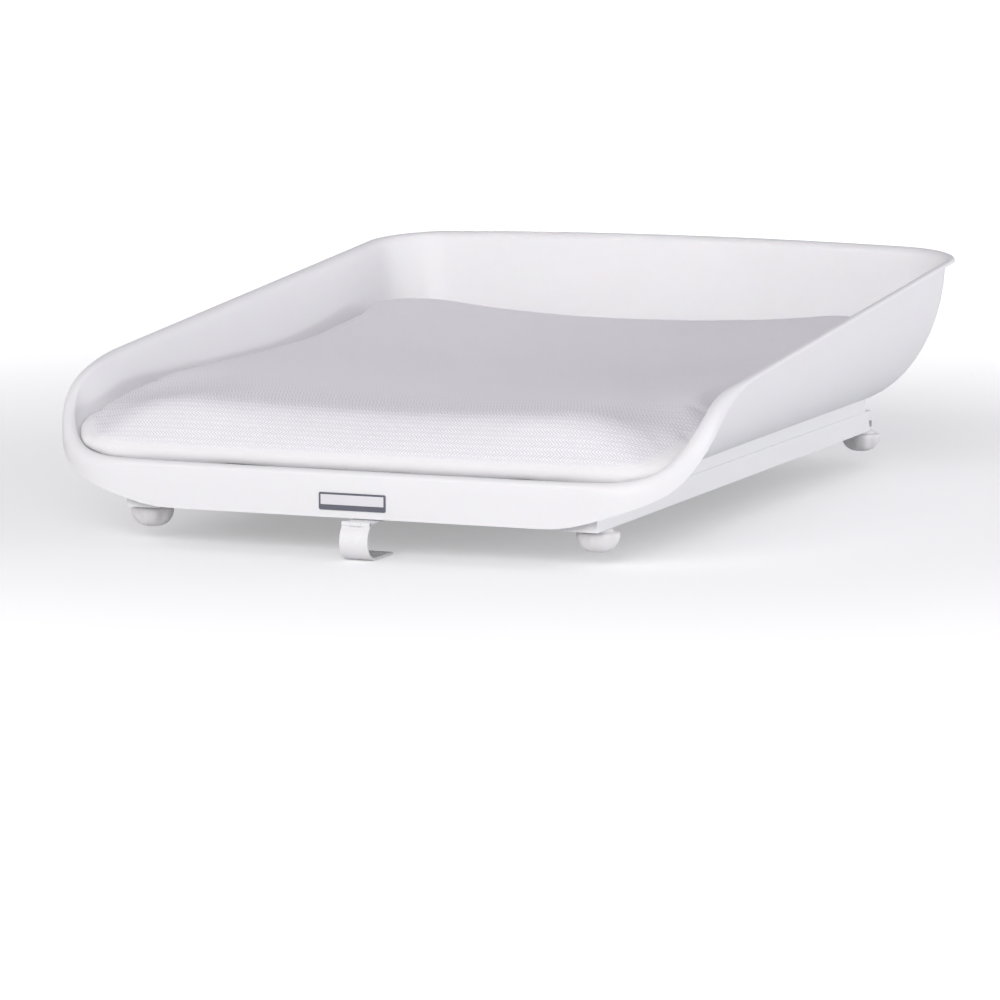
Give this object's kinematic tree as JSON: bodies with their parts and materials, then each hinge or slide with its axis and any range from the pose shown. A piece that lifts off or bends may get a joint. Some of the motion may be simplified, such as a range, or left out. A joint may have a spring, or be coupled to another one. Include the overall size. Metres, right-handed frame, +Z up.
{
  "type": "changing tray with mattress",
  "caption": "Moulded changing tray with a loose zipped mattress; two channel runners lie across a cot's rails, with knob stops and a hook catch.",
  "frame": {"origin": "centre line of the tray, half way between the two cot rails, on the plane of the rail tops the runners rest on", "axes": "+X to the right seen from the open front, +Y from the low front lip to the high rear wall, +Z up"},
  "size_m": [0.611, 0.834, 0.2115],
  "materials": {
    "tray_plastic": "semi-gloss white moulding with a very fine satin grain",
    "frame_plastic": "satin white moulding",
    "stop_plastic": "satin white knob",
    "catch_plastic": "semi-gloss white strip",
    "badge_grey": "plain grey plate without any marking",
    "fastener_steel": "zinc-plated steel",
    "foam": "open-cell polyether foam",
    "mesh_cover": "knitted spacer mesh with a fine herringbone",
    "base_cover": "plain knitted cloth",
    "zip_metal": "painted die-cast zip hardware"
  },
  "bodies": {
    "tray": {"tray_shell": "tray_plastic", "badge_plate": "badge_grey", "under_frame": "frame_plastic", "runner_left": "frame_plastic", "runner_right": "frame_plastic", "front_cap_left": "frame_plastic", "front_cap_right": "frame_plastic", "rear_foot_left": "frame_plastic", "rear_foot_right": "frame_plastic", "front_nut_left": "fastener_steel", "front_nut_right": "fastener_steel", "tray_screws": "fastener_steel", "runner_screws": "fastener_steel", "catch_screws": "fastener_steel", "catch_plate": "catch_plastic", "catch_pin": "fastener_steel"},
    "front_stop_left": {"front_stud_left": "fastener_steel", "front_knob_left": "stop_plastic"},
    "rear_slider_left": {"rear_nut_left": "fastener_steel"},
    "rear_stop_left": {"rear_stud_left": "fastener_steel", "rear_knob_left": "stop_plastic"},
    "front_stop_right": {"front_stud_right": "fastener_steel", "front_knob_right": "stop_plastic"},
    "rear_slider_right": {"rear_nut_right": "fastener_steel"},
    "rear_stop_right": {"rear_stud_right": "fastener_steel", "rear_knob_right": "stop_plastic"},
    "catch": {"front_catch": "catch_plastic"},
    "mattress": {"foam_core": "foam", "cover_top": "mesh_cover", "cover_base": "base_cover"},
    "zip_runner": {"zip_slider": "zip_metal"},
    "zip_tab": {"zip_pull": "zip_metal"}
  },
  "joints": [
    {"name": "front_stop_turn_left", "type": "hinge", "parent": "tray", "child": "front_stop_left", "pos_m": [-0.209, -0.3615, 0], "axis": [0, 0, 1], "range_deg": [0, 540]},
    {"name": "front_stop_turn_right", "type": "hinge", "parent": "tray", "child": "front_stop_right", "pos_m": [0.209, -0.3615, 0], "axis": [0, 0, 1], "range_deg": [0, 540]},
    {"name": "rear_stop_slide_left", "type": "slide", "parent": "tray", "child": "rear_slider_left", "axis": [0, -1, 0], "range_m": [0, 0.15]},
    {"name": "rear_stop_turn_left", "type": "hinge", "parent": "rear_slider_left", "child": "rear_stop_left", "pos_m": [-0.209, 0.3585, 0], "axis": [0, 0, 1], "range_deg": [0, 540]},
    {"name": "rear_stop_slide_right", "type": "slide", "parent": "tray", "child": "rear_slider_right", "axis": [0, -1, 0], "range_m": [0, 0.15]},
    {"name": "rear_stop_turn_right", "type": "hinge", "parent": "rear_slider_right", "child": "rear_stop_right", "pos_m": [0.209, 0.3585, 0], "axis": [0, 0, 1], "range_deg": [0, 540]},
    {"name": "catch_swing", "type": "hinge", "parent": "tray", "child": "catch", "pos_m": [0.012, -0.4225, 0.0006], "axis": [-1, 0, 0], "range_deg": [0, 85]},
    {"name": "mattress_lift", "type": "slide", "parent": "tray", "child": "mattress", "axis": [0, 0, 1], "range_m": [0, 0.25]},
    {"name": "zip_slide", "type": "slide", "parent": "mattress", "child": "zip_runner", "axis": [1, 0, 0], "range_m": [0, 0.34]},
    {"name": "zip_pull_swing", "type": "hinge", "parent": "zip_runner", "child": "zip_tab", "pos_m": [-0.17, 0.3211, 0.055], "axis": [1, 0, 0], "range_deg": [0, 110]}
  ]
}
